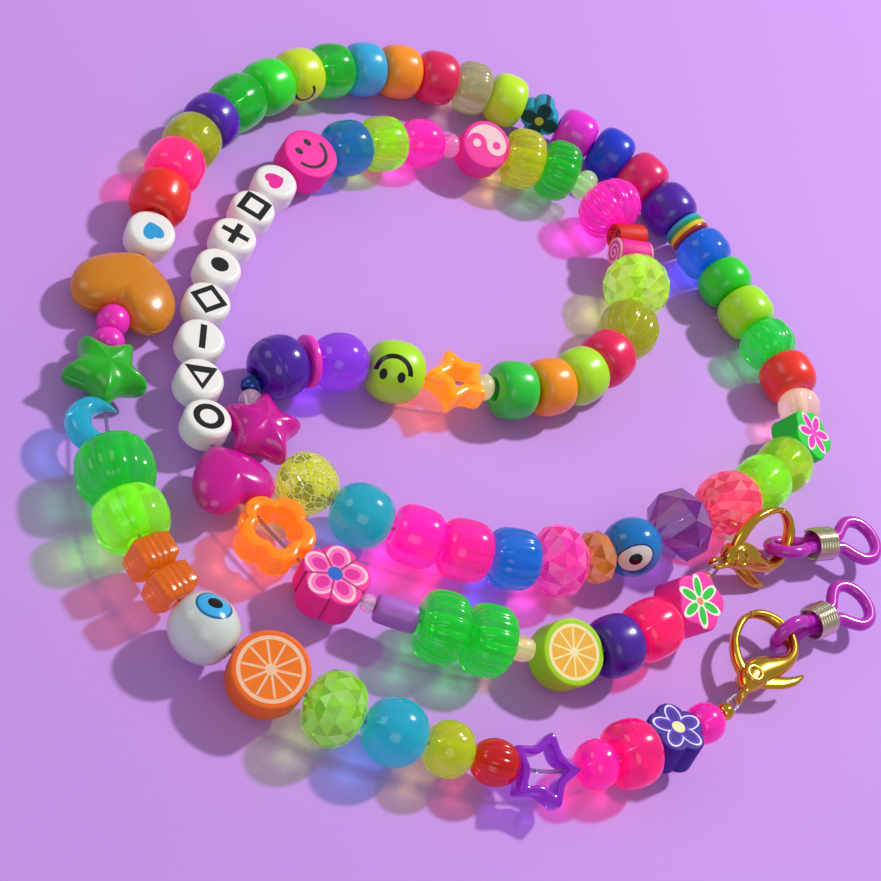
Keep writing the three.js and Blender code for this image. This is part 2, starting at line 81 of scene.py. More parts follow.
CORD_RADIUS = 0.25
BEND_REACH, BEND_INSET = 2.2, 0.5     # how far past a pivot bead's face, and inside it, the cord bends
CRIMP_PLACE, FIRST_BEAD = 1.35, 2.65  # along the cord: crimp B's middle, and the start of the first bead
TUBE_RADIUS = 0.9                     # silicone
COIL_TURNS, COIL_LENGTH, COIL_RADIUS, COIL_WIRE_RADIUS = 7, 3.5, 2.25, 0.25
COIN_THICKNESS, COIN_EDGE = 3.8, 0.8
GAP = 0.1                             # between pony beads
TOP_FACE = 0.5                        # printed marks lie above this height in a coin
FLOOR_HALF = 3                        # metres

# The camera, as found from the photograph: tilt and roll, distance in metres and lens in millimetres.
TILT, ROLL, REACH, LENS = math.radians(47), math.radians(33.4), 0.285, 83.8
AIM = Vector((-6.35, -7.3, 0)) * MM
heading = Vector((math.sin(ROLL), math.cos(ROLL), 0))
FORWARD = heading * math.cos(TILT) - Vector((0, 0, math.sin(TILT)))
level = FORWARD.cross(Vector((0, 0, 1))).normalized()
RIGHT = level * math.cos(ROLL) + level.cross(FORWARD) * math.sin(ROLL)
UP = level.cross(FORWARD) * math.cos(ROLL) - level * math.sin(ROLL)


# ---- shader values
def linear(hexa):
    rgb = [int(hexa[i:i + 2], 16) / 255 for i in (0, 2, 4)]
    return [c / 12.92 if c <= 0.04045 else ((c + 0.055) / 1.055) ** 2.4 for c in rgb] + [1]


class Val:
    """A number in a shader tree, with arithmetic."""

    def __init__(self, tree, socket):
        self.tree, self.socket = tree, socket

    def op(self, name, *others):
        node = self.tree.nodes.new("ShaderNodeMath")
        node.operation = name
        for slot, value in zip(node.inputs, (self,) + others):
            if isinstance(value, Val):
                self.tree.links.new(value.socket, slot)
            else:
                slot.default_value = value
        return Val(self.tree, node.outputs[0])

    def abs(self):
        return self.op("ABSOLUTE")

    def sqrt(self):
        return self.op("SQRT")


OPERATORS = {"add": "ADD", "radd": "ADD", "sub": "SUBTRACT", "mul": "MULTIPLY", "rmul": "MULTIPLY",
             "truediv": "DIVIDE", "lt": "LESS_THAN", "gt": "GREATER_THAN", "and": "MULTIPLY", "or": "MAXIMUM"}
for sign, shader_name in OPERATORS.items():
    setattr(Val, f"__{sign}__", lambda a, b, name=shader_name: a.op(name, b))


class Place:
    """Coordinates of the shaded point in the bead's own frame, in millimetres."""

    def __init__(self, tree, x=None, y=None, z=None):
        if x is None:
            coord = tree.nodes.new("ShaderNodeTexCoord")
            split = tree.nodes.new("ShaderNodeSeparateXYZ")
            tree.links.new(coord.outputs["Object"], split.inputs[0])
            x, y, z = (Val(tree, s) * 1000 for s in split.outputs)
            self.vector = coord.outputs["Object"]
        self.tree, self.x, self.y, self.z = tree, x, y, z

    def turned(self, degrees):
        c, s = math.cos(math.radians(degrees)), math.sin(math.radians(degrees))
        return Place(self.tree, self.x * c + self.y * s, self.y * c - self.x * s, self.z)

    def radius(self):
        return (self.x * self.x + self.y * self.y).sqrt()

    def folded(self, n):
        """The point turned into the first of n equal sectors about Z."""
        angle = self.y.op("ARCTAN2", self.x)
        share = (angle * (n / TAU) + 0.5).op("FRACT") - 0.5
        angle, radius = share * (TAU / n), self.radius()
        return Place(self.tree, radius * angle.op("COSINE"), radius * angle.op("SINE"), self.z)

    def ellipse(self, cx, cy, a, b):
        x, y = (self.x - cx) / a, (self.y - cy) / b
        return x * x + y * y

    def facing(self, direction, up, turn):
        """Coordinates across the side of a ball that faces a direction, with up as their Y."""
        d = Vector(direction).normalized()
        v = (up - d * up.dot(d)).normalized()
        u = v.cross(d)
        dot = lambda a: self.x * a.x + self.y * a.y + self.z * a.z
        return Place(self.tree, dot(u), dot(v), dot(d)).turned(turn)


def tree_of(name):
    """A new material, its node tree and its shader."""
    material = bpy.data.materials.new(name)
    material.use_nodes = True
    tree = material.node_tree
    return material, tree, tree.nodes["Principled BSDF"]


def set_inputs(node, values):
    for name, value in values.items():
        node.inputs[name].default_value = value


def noise(place, scale, detail, kind="ShaderNodeTexNoise"):
    node = place.tree.nodes.new(kind)
    node.inputs["Scale"].default_value = scale
    if "Detail" in node.inputs:
        node.inputs["Detail"].default_value = detail
    place.tree.links.new(place.vector, node.inputs["Vector"])
    return Val(place.tree, node.outputs[0])


def bump(shader, height, strength, distance=0.0001):
    tree = height.tree
    node = tree.nodes.new("ShaderNodeBump")
    set_inputs(node, {"Strength": strength, "Distance": distance})
    tree.links.new(height.socket, node.inputs["Height"])
    tree.links.new(node.outputs[0], shader.inputs["Normal"])


def mix(tree, factor, a, b):
    """Colour a where factor is 0 and b where it is 1; each is a hex string or a socket."""
    node = tree.nodes.new("ShaderNodeMix")
    node.data_type = "RGBA"
    for value, slot in zip((factor, a, b), (node.inputs[0], node.inputs[6], node.inputs[7])):
        if isinstance(value, str):
            slot.default_value = linear(value)
        elif isinstance(value, (int, float)):
            slot.default_value = value
        else:
            tree.links.new(value.socket if isinstance(value, Val) else value, slot)
    return node.outputs[2]


def painted(place, base, layers, wobble):
    """The base colour with each layer's colour laid where its mask is 1, and faint mottling."""
    tree, colour = place.tree, base
    for mask, hexa in layers(place) if layers else []:
        colour = mix(tree, mask, colour, hexa)
    node = tree.nodes.new("ShaderNodeHueSaturation")
    value = noise(place, 900, 4) * (2 * wobble) + (1 - wobble)
    tree.links.new(value.socket, node.inputs["Value"])
    if isinstance(colour, str):
        node.inputs["Color"].default_value = linear(colour)
    else:
        tree.links.new(colour, node.inputs["Color"])
    return node.outputs[0]


def coloured(name, base, layers=None, wobble=0.05):
    """A new material with its base colour painted, its shader and its place."""
    material, tree, shader = tree_of(name)
    place = Place(tree)
    tree.links.new(painted(place, base, layers, wobble), shader.inputs["Base Color"])
    return material, shader, place


@cache
def plastic(base, layers=None, rough=0.27, name="opaque"):
    """Opaque moulded plastic: glossy, with a faint orange-peel surface."""
    material, shader, place = coloured(f"{name}_{base}", base, layers, 0.03)
    varied = noise(place, 500, 3) * 0.12 + (rough - 0.06)
    place.tree.links.new(varied.socket, shader.inputs["Roughness"])
    set_inputs(shader, {"Coat Weight": 0.25, "Coat Roughness": 0.12, "Subsurface Weight": 0.03,
                        "Subsurface Scale": 0.001})
    bump(shader, noise(place, 1400, 2), 0.12)
    return material


@cache
def clay(base, layers=None):
    """Cut polymer clay: matte, finely pitted."""
    material, shader, place = coloured(f"clay_{base}", base, layers, 0.08)
    set_inputs(shader, {"Roughness": 0.55, "Specular IOR Level": 0.35})
    bump(shader, noise(place, 2600, 5) + noise(place, 500, 2), 0.3)
    return material


@cache
def clear(base, body=0.35, rough=0.05, kind="clear"):
    """Transparent tinted acrylic: refracts, tints its shadow, and gives off a faint painted glow in its own
    colour for the light that shines through it.

    A cut bead's facets differ in brightness at random, as painted glints and painted shade, and a crackled one
    has a net of pale cracks.
    """
    material, tree, shader = tree_of(f"{kind}_{base}")
    place = Place(tree)
    layers = None
    if kind == "crackle":
        net = tree.nodes.new("ShaderNodeTexVoronoi")
        net.feature = "DISTANCE_TO_EDGE"
        net.inputs["Scale"].default_value = 900
        tree.links.new(place.vector, net.inputs["Vector"])
        near, patch = Val(tree, net.outputs[0]), noise(place, 420, 4)
        layers = lambda p: [(patch > 0.52, "8c9a0a"), (near < 0.05, "fafab4")]
    tint = painted(place, base, layers, 0.05)
    # Painted light: each facet's random value lightens its tint towards white as a painted glint, and the
    # dimmest facets are darkened as painted shade.
    if kind == "cut":
        facet = tree.nodes.new("ShaderNodeAttribute")
        facet.attribute_name = "facet"
        shade = Val(tree, facet.outputs["Fac"])
        tint = mix(tree, shade * shade * 0.22, tint, "ffffff")
        tint = mix(tree, (shade < 0.3) * 0.3, tint, "280010")
    set_inputs(shader, {"Roughness": rough, "IOR": 1.48 if kind == "cut" else 1.4, "Transmission Weight": 1})
    tree.links.new(mix(tree, 0.08, tint, "ffffff"), shader.inputs["Base Color"])
    milky_glow = tree.nodes.new("ShaderNodeBsdfPrincipled")
    # Painted glow: this milky part gives off light in the bead's own tint, standing in for light that shines
    # through the bead.
    set_inputs(milky_glow, {"Roughness": 0.18, "Coat Weight": 0.6, "Emission Strength": 0.35})
    tree.links.new(tint, milky_glow.inputs["Base Color"])
    tree.links.new(tint, milky_glow.inputs["Emission Color"])
    height, depth = noise(place, 350, 2), 0.0002
    if kind == "crackle":
        height, depth = near.op("MINIMUM", 0.15) * 4 + noise(place, 1500, 2), 0.0005
    for s in (shader, milky_glow):
        bump(s, height, 0.8 if kind == "crackle" else 0.18, depth)
    join = tree.nodes.new("ShaderNodeMixShader")
    join.inputs[0].default_value = body
    tree.links.new(shader.outputs[0], join.inputs[1])
    tree.links.new(milky_glow.outputs[0], join.inputs[2])
    see = tree.nodes.new("ShaderNodeBsdfTransparent")
    tree.links.new(mix(tree, 0.25, tint, "ffffff"), see.inputs[0])
    ray = tree.nodes.new("ShaderNodeLightPath")
    last = tree.nodes.new("ShaderNodeMixShader")
    tree.links.new(ray.outputs["Is Shadow Ray"], last.inputs[0])
    tree.links.new(join.outputs[0], last.inputs[1])
    tree.links.new(see.outputs[0], last.inputs[2])
    tree.links.new(last.outputs[0], tree.nodes["Material Output"].inputs["Surface"])
    return material


@cache
def metal(base, rough, name):
    """Polished metal with faint scratches in its gloss."""
    material, shader, place = coloured(f"{name}_{base}", base)
    shader.inputs["Metallic"].default_value = 1
    varied = noise(place, 300, 4) * 0.16 + (rough - 0.06)
    place.tree.links.new(varied.socket, shader.inputs["Roughness"])
    bump(shader, noise(place, 600, 3), 0.08)
    return material


def silicone(base):
    """A soft, faintly translucent tube."""
    material, shader, place = coloured("silicone_tube", base)
    set_inputs(shader, {"Roughness": 0.24, "Subsurface Weight": 0.35, "Subsurface Scale": 0.0015,
                        "Coat Weight": 0.6, "Coat Roughness": 0.1})
    bump(shader, noise(place, 800, 3), 0.15)
    return material


# ---- meshes, in millimetres
def circle(steps, turn=0):
    """The cosine and sine at equal steps round a circle."""
    angles = [TAU * n / steps + turn for n in range(steps)]
    return [(math.cos(t), math.sin(t)) for t in angles]


def grid(rows, wrap_rows=True, caps=False, flat=False, stagger=False):
    """A mesh of closed rings of points. Rings join in order, wrapping round or capped by a point.

    With stagger every second ring is turned by half a step, and triangles join the rings.
    """
    count = len(rows[0])
    verts = [tuple(p) for row in rows for p in row]
    faces = []
    for i in range(len(rows) if wrap_rows else len(rows) - 1):
        a, b = i * count, ((i + 1) % len(rows)) * count
        for j in range(count):
            k = (j + 1) % count
            if stagger and i % 2 == 0:
                faces += [(a + j, a + k, b + j), (a + k, b + k, b + j)]
            elif stagger:
                faces += [(a + j, a + k, b + k), (a + j, b + k, b + j)]
            else:
                faces.append((a + j, a + k, b + k, b + j))
    if caps:
        for row, order in ((0, 1), (len(rows) - 1, -1)):
            verts.append(tuple(np.mean(rows[row], 0)))
            base, tip = row * count, len(verts) - 1
            for j in range(count):
                pair = (base + j, base + (j + 1) % count)
                faces.append((tip,) + pair[::-order])
    return verts, faces, flat


def piece(name, shape, matrix, material, node, body=None):
    """A mesh object at a frame, standing for a CAD node and riding on its body, or on the body given.

    For a cord piece across a joint, where the cord bends, body is the two bodies and where the bend starts and
    ends; these are not used, and the piece is baked in place on no body.
    """
    verts, faces, flat = shape
    mesh = bpy.data.meshes.new(name)
    mesh.from_pydata([Vector(v) * MM for v in verts], [], faces)
    mesh.validate()
    if sum(mesh.vertices[p.vertices[0]].co.dot(p.normal) * p.area for p in mesh.polygons) < 0:
        mesh.flip_normals()
    mesh.polygons.foreach_set("use_smooth", [not flat] * len(mesh.polygons))
    if flat:
        # A random value per facet, which a cut-glass material turns into painted glints and painted shade.
        facet = mesh.attributes.new("facet", "FLOAT", "FACE")
        facet.data.foreach_set("value", [(n * 0.618034) % 1 for n in range(len(mesh.polygons))])
    mesh.materials.append(material)
    mesh.update()
    obj = bpy.data.objects.new(name, mesh)
    obj.matrix_world = matrix
    bpy.context.scene.collection.objects.link(obj)
    if isinstance(body, tuple):
        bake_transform(obj)
    else:
        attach(obj, body or nodes[node]["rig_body"])
    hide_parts(node)
    return obj


def about_x(profile, sides, wave=None):
    """Turns a closed profile of (x, radius) about X; wave(angle, x, radius) scales the radius."""
    rows = []
    for x, r in profile:
        row = []
        for n in range(sides):
            t = TAU * n / sides
            rr = r * (wave(t, x, r) if wave else 1)
            row.append((x, rr * math.cos(t), rr * math.sin(t)))
        rows.append(row)
    return rows


def squared(value, power):
    """A sine or cosine raised to a power with its sign kept, for curves between round and square."""
    return math.copysign(abs(value) ** power, value)


def barrel_profile(length, radius, bore, power, steps=18):
    """The outline of a barrel or ball, out from one bore rim to the other, then the bore."""
    out = []
    for i in range(steps + 1):
        t = math.pi * i / steps
        c, s = math.cos(t), math.sin(t)
        x = -length / 2 * squared(c, 2 / power)
        r = bore + (radius - bore) * abs(s) ** (2 / power)
        out.append((x, r))
    rim = 0.12
    out[0] = (out[0][0] + 0.02, bore + rim)
    out[-1] = (out[-1][0] - 0.02, bore + rim)
    wall = [(length / 2 * f, bore) for f in (0.97, 0.5, 0, -0.5, -0.97)]
    return out + wall


def barrel(length, diameter, bore, power, sides=40):
    return grid(about_x(barrel_profile(length, diameter / 2, bore, power), sides))


def pony(length, diameter=8.4):
    return barrel(length, diameter, 1.7, 2.7)


def ribbed(length, diameter, ribs, depth, bore=1.6, power=2.7, twist=0.0):
    """A fluted bead: rounded ribs run along the cord, and may twist round it."""
    radius = diameter / 2

    def wave(t, x, r):
        share = max(0.0, (r - bore) / (radius - bore)) ** 0.6
        ridge = abs(math.cos((t + twist * x) * ribs / 2))
        return 1 - depth * share * (1 - ridge ** 0.7)

    return grid(about_x(barrel_profile(length, radius, bore, power), ribs * 6, wave))


def ball(length, diameter, bore=0.8, seam=None, power=2.05):
    """A round bead; seam cuts a shallow groove round it, square to the cord, at that x."""
    profile = barrel_profile(length, diameter / 2, bore, power, 26 if seam is None else 60)
    if seam is not None:
        groove = 0.16
        profile = [(x, r - groove * math.exp(-(((x - seam) / groove) ** 2)) if r > bore * 1.6 else r)
                   for x, r in profile]
    return grid(about_x(profile, 44))


def lined(length, diameter, lines=3):
    """A ball with shallow scored lines running along the cord."""
    bore = 0.9

    def wave(t, x, r):
        near = min(abs((t - TAU * k / lines + math.pi) % TAU - math.pi) for k in range(lines))
        return 1 - 0.028 * math.exp(-((near / 0.05) ** 2)) * (r > bore * 1.5)

    return grid(about_x(barrel_profile(length, diameter / 2, bore, 2.05, 26), 120, wave))


def gem(length, diameter, sides, rings, bore=0.9):
    """A cut bead: flat triangular facets between staggered rings of (x, radius) shares, with a bore."""
    outside = [(x, max(diameter / 2 * share, bore + 0.35)) for x, share in rings]
    inside = [(0.5, bore + 0.25), (0.48, bore), (-0.48, bore), (-0.5, bore + 0.25)]
    rows = []
    for n, (x, r) in enumerate(outside + inside):
        turn = (n % 2) * math.pi / sides
        rows.append([(x * length, r * c, r * s) for c, s in circle(sides, turn)])
    return grid(rows, flat=True, stagger=True)


def cube(length, width, bore=0.8):
    """A square block with bevelled ends, grooved along the cord."""
    half = width / 2

    def wave(t, x, r):
        corner = (abs(math.cos(t)) ** 9 + abs(math.sin(t)) ** 9) ** (-1 / 9)
        groove = 0.075 * (0.5 + 0.5 * math.cos(20 * t)) * (abs(x) < length * 0.38)
        return (corner - groove) if r > bore * 1.5 else 1

    end = [(-0.5, bore + 0.1), (-0.5, half - 0.9), (-0.36, half - 0.1), (-0.3, half)]
    inside = [(0.45, bore), (-0.45, bore)]
    profile = end + [(0, half)] + [(-x, r) for x, r in reversed(end)] + inside
    return grid(about_x([(length * x, r) for x, r in profile], 80, wave))


def two_sided(*rings):
    """Rings of a cut bead, given from its end to its middle."""
    return rings + tuple((-x, share) for x, share in reversed(rings) if x)


CHECKER = two_sided((-0.46, 0.5), (-0.37, 0.74), (-0.22, 0.92), (0, 1.0))


def across(radius, far, near):
    """A short cane lying across the cord, from near to far along Y."""
    rows = []
    edge = 0.25
    end = [(0, 0.0), (0, 0.5), (0, 1 - edge / radius), (edge * 0.3, 1 - edge * 0.3 / radius), (edge, 1)]
    stations = [(near + y, share) for y, share in end] + [(0, 1)]
    stations += [(far - y, share) for y, share in reversed(end)]
    for y, share in stations:
        r = max(radius * share, 0.02)
        rows.append([(r * c, y, r * s) for c, s in circle(40)])
    return grid(rows, wrap_rows=False, caps=True)


def smooth_loop(points, passes):
    p = np.array(points, float)
    for _ in range(passes):
        p = (np.roll(p, 1, 0) + 2 * p + np.roll(p, -1, 0)) / 4
    return p


def petal_outline(length, petals, depth, sharp):
    """Petals round a circle with one petal first along X, as long as length overall."""
    out, steps = [], 24
    for n in range(petals * steps):
        t = TAU * n / (petals * steps)
        r = 1 - 2 * depth + 2 * depth * abs(math.cos(petals * t / 2)) ** sharp
        out.append((r * math.cos(t), r * math.sin(t)))
    p = np.array(out)
    p *= length / (p[:, 0].max() - p[:, 0].min())
    p[:, 0] -= (p[:, 0].max() + p[:, 0].min()) / 2
    return p


def star_outline(length, window=1.0, passes=3):
    """A five-pointed star whose tip and opposite notch are a length apart along X."""
    steps, waist = 8, 0.58
    radius = length / (1 + waist)
    corners = [np.array(p) * (waist if n % 2 else 1) for n, p in enumerate(circle(10))]
    pts = []
    for a, b in zip(corners, corners[1:] + corners[:1]):
        pts += [a + (b - a) * k / steps for k in range(steps)]
    return smooth_loop(pts, passes) * radius * window - (radius * 0.21, 0)


def heart_outline(length, width, lobes):
    """A heart from its notch to its point along X, its lobes reaching back past the notch."""
    steps = 14
    half, back, notch = width / 2, -length * lobes, -length / 2 + 0.7
    runs = [
        ((length / 2, 0), (length * 0.34, half * 0.5), (length * 0.1, half), (-length * 0.24, half)),
        ((-length * 0.24, half), (back * 0.95, half), (back * 1.1, half * 0.4), (notch, 0)),
    ]
    pts = []
    for a, b, c, d in runs:
        for k in range(steps):
            t = k / steps
            w = ((1 - t) ** 3, 3 * t * (1 - t) ** 2, 3 * t * t * (1 - t), t ** 3)
            pts.append(sum(wi * np.array(q) for wi, q in zip(w, (a, b, c, d))))
    pts += [np.array((notch, 0.0))] + [np.array((p[0], -p[1])) for p in pts[:0:-1]]
    return smooth_loop(pts, 3)


def slab(outline, thickness, round_edge=0.3, dome=0.0, crease=0.0):
    """A flat piece with rounded edges. With dome it bulges towards its middle; crease sinks its notches."""
    half = thickness / 2
    size = np.abs(outline).max()
    centre = outline.mean(0)
    quarter = [math.pi / 2 * k / 6 for k in range(7)]
    rings = [(1 - round_edge / size * (1 - math.sin(t)), half - round_edge * (1 - math.cos(t)))
             for t in quarter]
    inner = [(s, half) for s in (0.02, 0.25, 0.5, 0.75, 0.9) if s < rings[0][0] - 0.03]
    top = inner + rings
    if dome:
        shares = [math.sin(math.pi / 2 * (k + 0.2) / 14.2) for k in range(15)]
        top = [(s, half * (1 - s ** (2 / dome)) ** 0.5) for s in shares]
    full = top + [(s, -z) for s, z in reversed(top)]
    far = np.linalg.norm(outline - centre, axis=1)
    sunk = crease * (far.max() - far) / (far.max() - far.min() + 1e-9)
    rows = [[(centre[0] + (x - centre[0]) * s, centre[1] + (y - centre[1]) * s, z * (1 - k * min(s * 1.5, 1)))
             for (x, y), k in zip(outline, sunk)] for s, z in full]
    return grid(rows, wrap_rows=False, caps=True)


def window(outer, inner, thickness):
    """A frame between two outlines with the same number of points, its edges rounded."""
    half = thickness / 2
    section = [(0.5 + 0.5 * squared(c, 0.45), half * squared(s, 0.45)) for c, s in circle(24)]
    rows = [[tuple(i + (o - i) * u) + (z,) for o, i in zip(outer, inner)] for u, z in section]
    return grid(rows)


def curve(points, closed=False):
    """A smooth curve through points, by centripetal Catmull-Rom, with six steps from each to the next."""
    per = 6
    p = [np.array(q, float) for q in points]
    n = len(p)
    get = (lambda i: p[i % n]) if closed else (lambda i: p[min(max(i, 0), n - 1)] + (
        (p[0] - p[1]) if i < 0 else (p[-1] - p[-2]) if i >= n else 0))
    out = []
    for i in range(n if closed else n - 1):
        q = [get(i - 1), get(i), get(i + 1), get(i + 2)]
        t = [0.0]
        for a, b in zip(q, q[1:]):
            t.append(t[-1] + max(np.linalg.norm(b[:3] - a[:3]), 1e-6) ** 0.5)
        for k in range(per):
            u = t[1] + (t[2] - t[1]) * k / per
            a1 = [((t[j + 1] - u) * q[j] + (u - t[j]) * q[j + 1]) / (t[j + 1] - t[j]) for j in range(3)]
            b1 = [((t[j + 2] - u) * a1[j] + (u - t[j]) * a1[j + 1]) / (t[j + 2] - t[j]) for j in range(2)]
            out.append(((t[2] - u) * b1[0] + (u - t[1]) * b1[1]) / (t[2] - t[1]))
    return out if closed else out + [p[-1]]


def sweep(path, sides=16, closed=False, power=2.0, steady=None):
    """A tube along rows of (x, y, z, half width, half thickness).

    Its thickness points along steady, or is carried along the path.
    """
    p = np.array(path, float)
    n = len(p)
    if closed:
        tangent = np.roll(p[:, :3], -1, 0) - np.roll(p[:, :3], 1, 0)
    else:
        tangent = np.gradient(p[:, :3], axis=0)
    tangent /= np.linalg.norm(tangent, axis=1)[:, None]
    up = np.array((0.0, 0.0, 1.0) if steady is None else steady)
    if steady is None and abs(up @ tangent[0]) > 0.95:
        up = np.array((0.0, 1.0, 0.0))
    rows = []
    for i in range(n):
        side = np.cross(up, tangent[i])
        side /= np.linalg.norm(side)
        top = np.cross(tangent[i], side)
        if steady is None:
            up = top
        row = []
        for c, s in circle(sides):
            w, h = p[i, 3] * squared(c, 2 / power), p[i, 4] * squared(s, 2 / power)
            row.append(tuple(p[i, :3] + side * w + top * h))
        rows.append(row)
    return grid(rows, wrap_rows=closed, caps=not closed)


def crescent(length):
    """A crescent's middle line and widths, horns on the cord and back to its right."""
    radius = length * 0.54
    inner, outer_at, inner_at = radius * 0.68, -radius * 0.38, radius * 0.18
    spread = radius ** 2 - inner ** 2 - outer_at ** 2 + inner_at ** 2
    horn = spread / (2 * (inner_at - outer_at))
    a, b = math.asin((horn - outer_at) / radius), math.asin((horn - inner_at) / inner)
    rows = []
    for k in range(33):
        t = k / 32
        outer = math.pi - a + (math.pi + 2 * a) * t
        inn = math.pi - b + (math.pi + 2 * b) * t
        o = np.array((radius * math.cos(outer), outer_at + radius * math.sin(outer)))
        i = np.array((inner * math.cos(inn), inner_at + inner * math.sin(inn)))
        m, w = (o + i) / 2, np.linalg.norm(o - i) / 2
        rows.append((m[0], m[1], 0, max(w, 0.12), max(min(1.7, w * 1.25), 0.2)))
    return sweep(rows, 20, False, 2.2, (0, 0, 1))


# ---- the cord, from its CAD node
def centre(node):
    lo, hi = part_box(node)
    return np.array((lo + hi) / 2) / MM


def cord_line():
    """The cord's middle, from crimp to crimp, in millimetres, with the distance along it."""
    mesh = nodes["elastic_cord"].data
    co = np.array([v.co for v in mesh.vertices]) / MM
    co, same = np.unique(np.round(co, 3), axis=0, return_inverse=True)
    same = same.ravel()
    edges = np.array([(same[e.vertices[0]], same[e.vertices[1]]) for e in mesh.edges])
    long = np.linalg.norm(co[edges[:, 0]] - co[edges[:, 1]], axis=1)
    ring = np.arange(len(co))
    for a, b in edges[(long < 0.4) & (long > 0)]:
        ring[ring == ring[b]] = ring[a]
    middle = {r: co[ring == r].mean(0) for r in np.unique(ring)}
    beside = {r: set() for r in middle}
    for a, b in edges[long > 2]:
        if ring[a] != ring[b]:
            beside[ring[a]].add(ring[b])
            beside[ring[b]].add(ring[a])
    joined = [r for r in middle if beside[r]]
    nearest = lambda node: min(joined, key=lambda r: np.linalg.norm(middle[r] - centre(node)))
    start, goal = nearest("crimp_bead_b"), nearest("crimp_bead_a")
    before, queue = {start: None}, [start]
    for here in queue:
        for there in sorted(beside[here]):
            if there not in before:
                before[there] = here
                queue.append(there)
    walk = [goal]
    while before[walk[-1]] is not None:
        walk.append(before[walk[-1]])
    ends = [centre("crimp_bead_b"), centre("crimp_bead_a")]
    inner = [middle[r] for r in walk[::-1] if min(np.linalg.norm(middle[r] - e) for e in ends) > 1.6]
    line = np.array(curve([ends[0]] + inner + [ends[1]]))
    away = np.concatenate(([0], np.cumsum(np.linalg.norm(np.diff(line, axis=0), axis=1))))
    return line, away + CRIMP_PLACE


line, away = cord_line()


def point_at(distance):
    return np.array([np.interp(distance, away, line[:, k]) for k in range(3)])


def metres(distance):
    return Vector(point_at(distance)) * MM


def placed(x, y, z, origin):
    """The matrix of a frame with these axes and this origin."""
    place = Matrix((x, y, z)).transposed().to_4x4()
    place.translation = origin
    return place


def frame_at(distance, roll=0.0):
    """A matrix at a distance along the cord: X along it, Y left, Z up, rolled about X."""
    x = Vector(point_at(distance + 0.6) - point_at(distance - 0.6)).normalized()
    y = Vector((0, 0, 1)).cross(x).normalized()
    return placed(x, y, x.cross(y), metres(distance)) @ Matrix.Rotation(math.radians(roll), 4, "X")


# ---- painted patterns
INK = "050304"


def citrus(pith, flesh, size):
    """A cut citrus fruit on both faces of a slice: pith, ten cells of flesh, and pith at the middle."""
    cells = 10
    slope = math.tan(math.pi / cells)

    def layers(p):
        r, cell = p.radius(), p.folded(cells)
        flat = p.z.abs() > 1.6
        return [
            (flat & (r < size * 0.84), pith),
            (flat & (r < size * 0.74), flesh),
            (flat & (r < size * 0.72) & (cell.y.abs() > cell.x * slope - size * 0.03), pith),
            (flat & (r < size * 0.14), pith),
        ]
    return layers


def blossom(petals, reach, wide, outline, fill, heart, size, inner=0.55, core=None, split=None):
    """Petals with an outline, a fill and a core colour, split lines between them, and a round heart."""
    def layers(p):
        q = p.folded(petals)
        e = q.ellipse(reach, 0, reach * 0.92, wide)
        out = [(e < 1, outline), (e < inner, fill)]
        if core:
            out.append((e < inner * 0.4, core))
        if split:
            slope = math.tan(math.pi / petals)
            out.append((((q.y.abs() - q.x * slope).abs() < 0.16) & (p.radius() < reach * 1.9), split))
        return out + [(p.radius() < size, heart)]
    return layers


def smile(eye, gap, drop, radius, width, turn=0, cut=0.25, fall=0.0):
    """Two oval eyes, a gap either side and a drop up, over an arc that ends cut of its radius down."""
    def layers(p):
        q = p.turned(turn)
        mouth = ((q.x * q.x + (q.y - fall) * (q.y - fall)).sqrt() - radius).abs() < width
        eyes = [(q.ellipse(x, drop, eye, eye * 1.35) < 1, INK) for x in (-gap, gap)]
        return eyes + [(mouth & (q.y < fall - cut * radius), INK)]
    return layers


def on_ball(frame, across, up, turn, inner):
    """Marks on the side of a ball that the camera sees this far across and up it."""
    toward = RIGHT * across + UP * up - FORWARD * math.sqrt(1 - across ** 2 - up ** 2)
    local = frame.to_3x3().inverted()
    direction, upright = local @ toward, local @ UP

    def layers(p):
        q = p.facing(direction, upright, turn)
        return [(mask & (q.z > 0), hexa) for mask, hexa in inner(q)]
    return layers


def ovals(*rows):
    """Concentric ovals of half width and half height, widest first."""
    return lambda q: [(q.ellipse(0, 0, a, b) < 1, hexa) for a, b, hexa in rows]


def heart_mark(size, hexa, turn):
    """A printed heart on the upper face of a coin."""
    def layers(p):
        q = p.turned(turn)
        x, y = q.x / size, q.y / size
        d = x * x + y * y - 1
        return [(((d * d * d - x * x * y * y * y) < 0) & (q.z > TOP_FACE), hexa)]
    return layers


def mark(kind):
    """A plain printed mark on the upper face of a coin."""
    def layers(p):
        q = p.turned(90)
        x, y, r = q.x, q.y, q.radius()
        s, w = 2.05, 0.45
        box = x.abs().op("MAXIMUM", y.abs())
        lines = {
            "dot": r < s * 0.62,
            "ring": (r - s * 0.8).abs() < w,
            "bar": (x.abs() < w) & (y.abs() < s),
            "triangle": (((y + s * 0.55) * -1).op(
                "MAXIMUM", x.abs() * 1.7 + y - s * 0.85) * 0.6).abs() < w * 0.7,
            "diamond": (x.abs() + y.abs() - s * 1.05).abs() < w * 1.2,
            "plus": ((x.abs() < w) | (y.abs() < w)) & (box < s),
            "square": (box - s * 0.75).abs() < w,
        }
        return [(lines[kind] & (q.z > TOP_FACE), INK)]
    return layers


def yin(size, dark, pale):
    """Two interlocked swirls, each with a dot of the other's colour."""
    def layers(p):
        r = p.radius()
        top, low = p.ellipse(size / 2, 0, size / 2, size / 2), p.ellipse(-size / 2, 0, size / 2, size / 2)
        half = ((p.y > 0) | (top < 1)) & (low > 1) & (r < size)
        return [(half, pale), (p.ellipse(size / 2, 0, 0.65, 0.65) < 1, dark),
                (p.ellipse(-size / 2, 0, 0.65, 0.65) < 1, pale)]
    return layers


